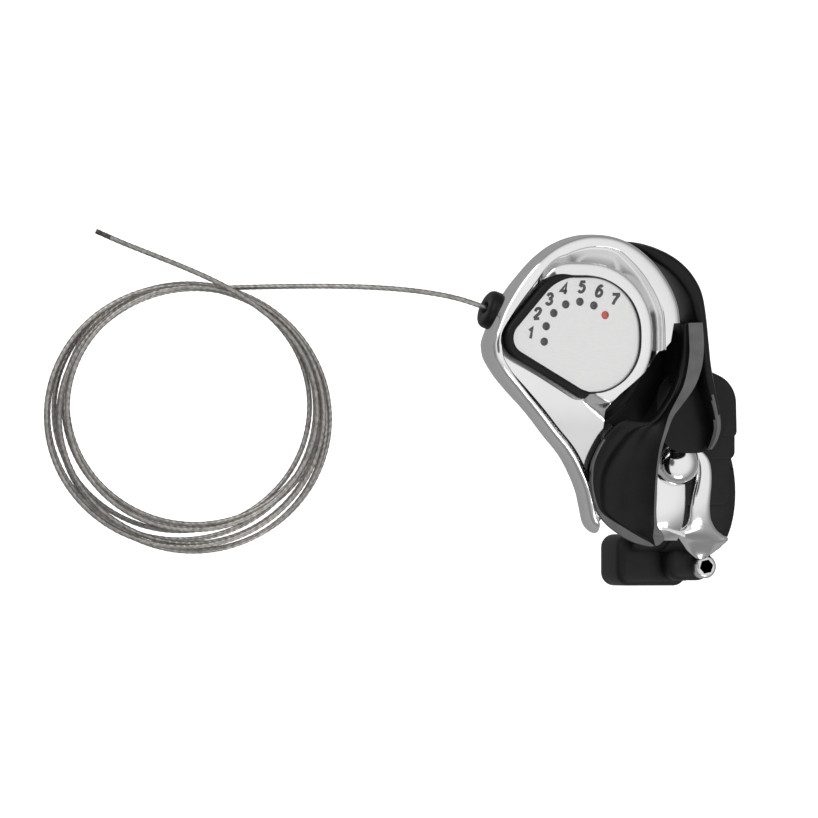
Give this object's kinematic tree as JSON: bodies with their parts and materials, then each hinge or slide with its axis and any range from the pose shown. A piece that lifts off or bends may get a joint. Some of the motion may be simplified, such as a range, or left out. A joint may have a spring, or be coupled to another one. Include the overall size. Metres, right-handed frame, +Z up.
{
  "type": "thumb shifter",
  "caption": "Right-hand ratcheting bicycle thumb shifter with bar clamp, two-wing lever, bright shell, numbered position display and coiled inner cable.",
  "frame": {"origin": "centre of the handlebar clamp bore", "axes": "+X outboard along the handlebar, towards the right-hand grip; +Y forward; +Z up out of the display, parallel to the lever and drum axis"},
  "size_m": [0.1637, 0.082, 0.0518],
  "materials": {
    "black_casting": "fine-textured satin black",
    "black_plastic": "fine-grained satin black",
    "chrome_shell": "polished plating",
    "plated_steel": "zinc plated",
    "bright_steel": "bright",
    "spring_steel": "oiled wire",
    "cable_steel": "stranded wire",
    "bush_polymer": "natural",
    "drum_polymer": "moulded",
    "indicator_grey": "moulded",
    "indicator_red": "gloss",
    "dial_silver": "brushed with printed numbers",
    "clear_lens": "clear"
  },
  "bodies": {
    "shifter_body": {"clamp_bracket": "black_casting", "clamp_bolt": "bright_steel", "clamp_nut": "bright_steel", "clamp_cover": "chrome_shell", "bracket_screws": "bright_steel", "base_plate": "plated_steel", "main_axle": "bright_steel", "hub_bush": "bush_polymer", "thrust_washer": "bright_steel", "axle_washer": "bright_steel", "axle_nut": "bright_steel", "holding_pawl_pin": "bright_steel", "holding_pawl_spring": "spring_steel", "lever_return_spring": "spring_steel", "drum_spring": "spring_steel", "front_cover": "chrome_shell", "lower_case": "black_plastic", "cover_screws": "bright_steel", "dial_bezel": "black_plastic", "dial_face": "dial_silver", "dial_lens": "clear_lens", "casing_stop": "black_plastic", "cable_lead": "cable_steel"},
    "drum": {"ratchet_wheel": "plated_steel", "winding_drum": "drum_polymer", "cable_nipple": "bright_steel", "cable_wrap": "cable_steel", "indicator_disc": "indicator_grey", "indicator_pip": "indicator_red"},
    "lever": {"lever_plate": "plated_steel", "thumb_paddle": "black_plastic", "finger_paddle": "black_plastic", "lever_rivets": "bright_steel", "drive_pawl_pin": "bright_steel", "drive_pawl_spring": "spring_steel"},
    "drive_pawl": {"drive_pawl": "plated_steel"},
    "holding_pawl": {"holding_pawl": "plated_steel"},
    "cable": {"inner_cable": "cable_steel"}
  },
  "joints": [
    {"name": "drum_turn", "type": "hinge", "parent": "shifter_body", "child": "drum", "pos_m": [-0.0412, 0.035, 0.0265], "axis": [0, 0, 1], "range_deg": [0, 144], "stiffness_Nm_per_rad": 0.02, "deforming": ["drum_spring"]},
    {"name": "lever_swing", "type": "hinge", "parent": "shifter_body", "child": "lever", "pos_m": [-0.0412, 0.035, 0.02], "axis": [0, 0, 1], "range_deg": [-24, 48], "stiffness_Nm_per_rad": 0.1, "deforming": ["lever_return_spring"]},
    {"name": "drive_pawl_swing", "type": "hinge", "parent": "lever", "child": "drive_pawl", "pos_m": [-0.03345, 0.02158, 0.0225], "axis": [0, 0, 1], "range_deg": [0, 12], "stiffness_Nm_per_rad": 0.001, "deforming": ["drive_pawl_spring"]},
    {"name": "holding_pawl_swing", "type": "hinge", "parent": "shifter_body", "child": "holding_pawl", "pos_m": [-0.03958, 0.05042, 0.0225], "axis": [0, 0, 1], "range_deg": [0, 12], "stiffness_Nm_per_rad": 0.001, "deforming": ["holding_pawl_spring"]},
    {"name": "cable_pull", "type": "slide", "parent": "shifter_body", "child": "cable", "axis": [0.9367, -0.3502, 0], "range_m": [0, 0.01734], "deforming": ["inner_cable"]}
  ],
  "couplings": [
    {"joint": "drum_turn", "follows": "cable_pull", "rad_per_m": 144.93}
  ]
}
